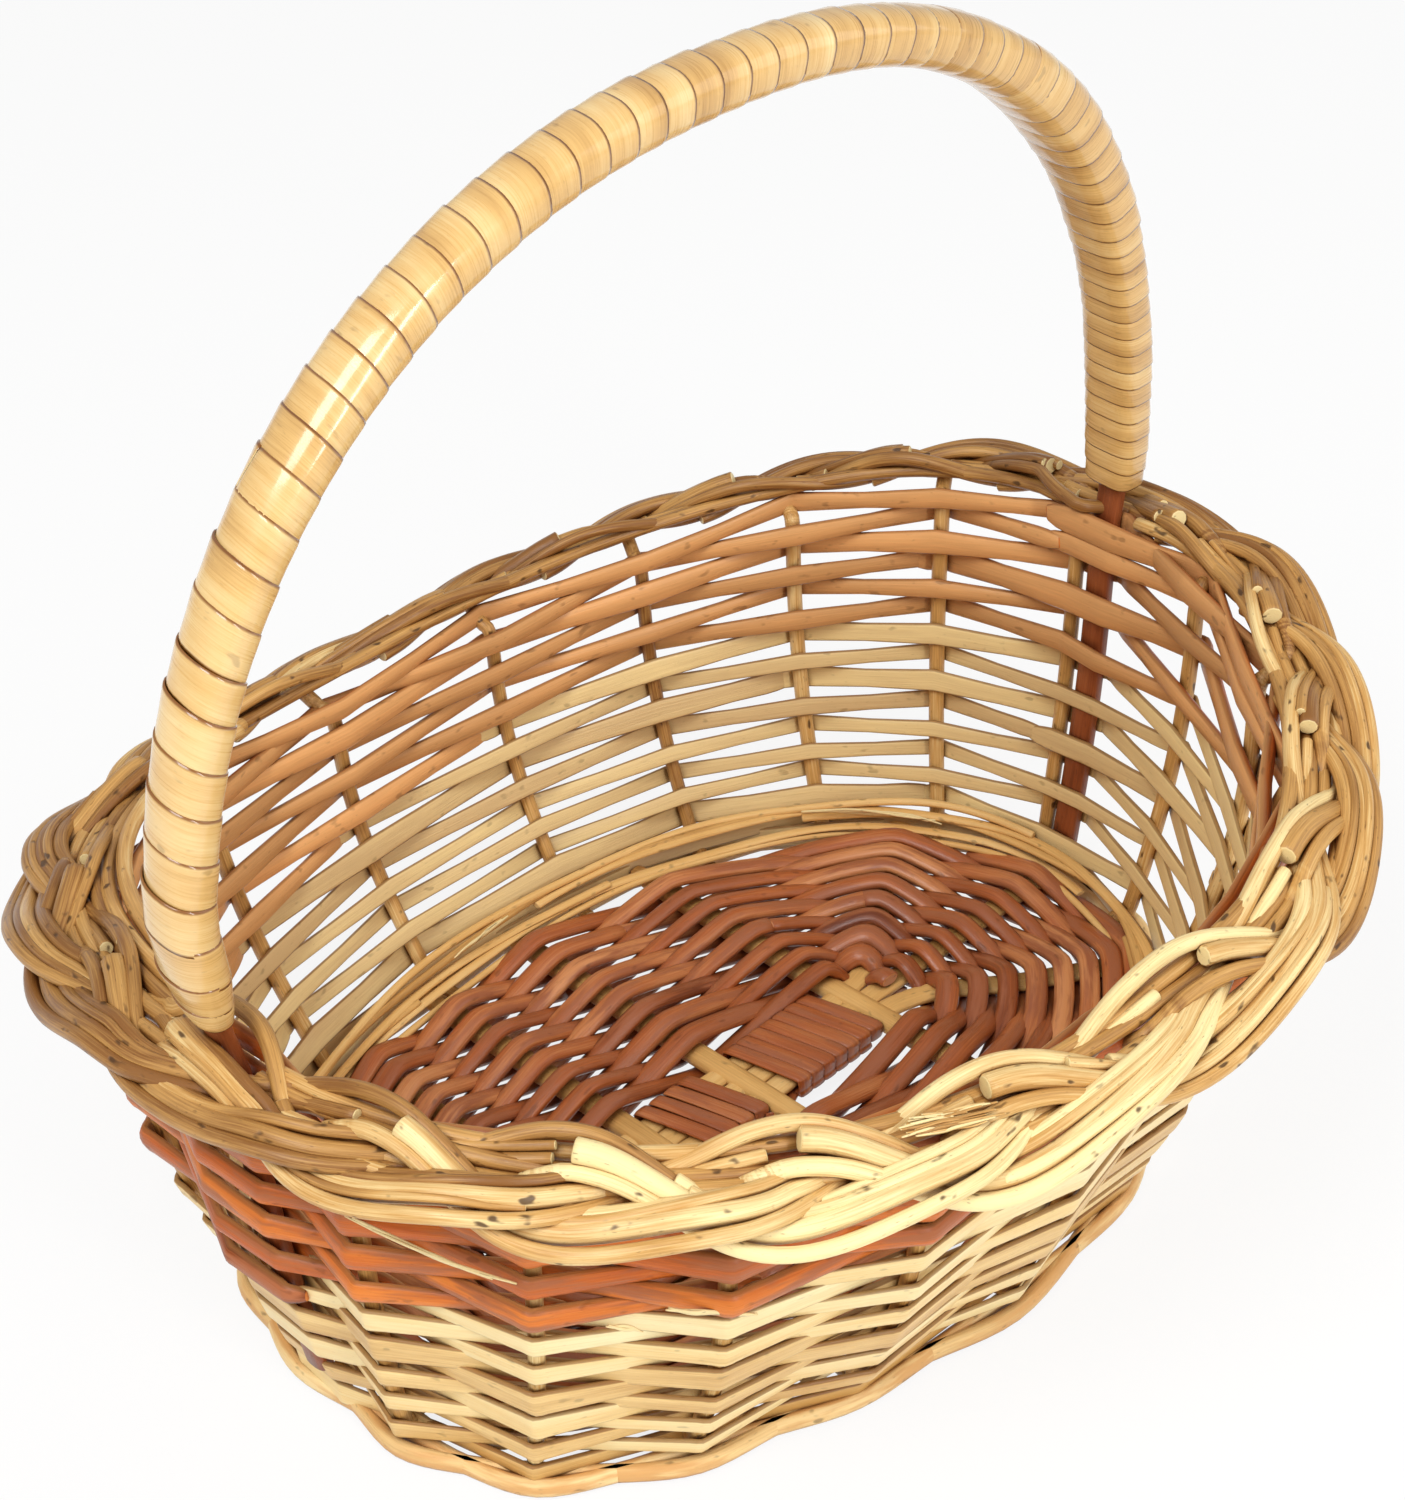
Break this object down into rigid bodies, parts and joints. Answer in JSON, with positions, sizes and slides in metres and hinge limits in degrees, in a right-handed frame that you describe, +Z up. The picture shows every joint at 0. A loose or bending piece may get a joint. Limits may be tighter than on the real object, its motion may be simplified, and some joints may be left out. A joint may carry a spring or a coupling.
{
  "type": "wicker basket",
  "caption": "Oval wicker basket with slanting woven sides, a plaited border, a woven base on slit sticks and a bow handle wrapped in split cane.",
  "frame": {"origin": "on the ground under the middle of the basket", "axes": "+X along the long axis and the bow handle, +Y across the basket, +Z up"},
  "size_m": [0.2998, 0.2561, 0.2581],
  "materials": {
    "stake_willow": "satin",
    "border_willow": "satin",
    "cream_splint": "satin",
    "brown_willow": "satin",
    "split_cane": "gloss"
  },
  "bodies": {
    "root": {"side_stake_01": "stake_willow", "side_stake_02": "stake_willow", "side_stake_03": "stake_willow", "side_stake_04": "stake_willow", "side_stake_05": "stake_willow", "side_stake_06": "stake_willow", "side_stake_07": "stake_willow", "side_stake_08": "stake_willow", "side_stake_09": "stake_willow", "side_stake_10": "stake_willow", "side_stake_11": "stake_willow", "side_stake_12": "stake_willow", "side_stake_13": "stake_willow", "side_stake_14": "stake_willow", "side_stake_15": "stake_willow", "side_stake_16": "stake_willow", "side_stake_17": "stake_willow", "side_stake_18": "stake_willow", "side_stake_19": "stake_willow", "border_liner_01": "border_willow", "border_liner_02": "border_willow", "border_liner_03": "border_willow", "border_liner_04": "border_willow", "border_liner_05": "border_willow", "border_liner_06": "border_willow", "border_liner_07": "border_willow", "border_liner_08": "border_willow", "border_liner_09": "border_willow", "border_liner_10": "border_willow", "border_liner_11": "border_willow", "border_liner_12": "border_willow", "border_liner_13": "border_willow", "border_liner_14": "border_willow", "border_liner_15": "border_willow", "border_liner_16": "border_willow", "border_liner_17": "border_willow", "border_liner_18": "border_willow", "border_liner_19": "border_willow", "cream_weaver_1": "cream_splint", "cream_weaver_2": "cream_splint", "cream_weaver_3": "cream_splint", "brown_weaver_1": "brown_willow", "brown_weaver_2": "brown_willow", "foot_row": "stake_willow", "handle_hoop": "brown_willow", "handle_wrap_left": "split_cane", "handle_wrap_top_left": "split_cane", "handle_wrap_top_right": "split_cane", "handle_wrap_right": "split_cane", "base_cross_stick_1": "border_willow", "base_cross_stick_2": "border_willow", "base_cross_stick_3": "border_willow", "base_cross_stick_4": "border_willow", "base_long_stick_1": "border_willow", "base_long_stick_2": "border_willow", "base_long_stick_3": "border_willow", "base_weaver_a": "brown_willow", "base_weaver_b": "brown_willow", "spine_wrap": "brown_willow"}
  },
  "joints": []
}
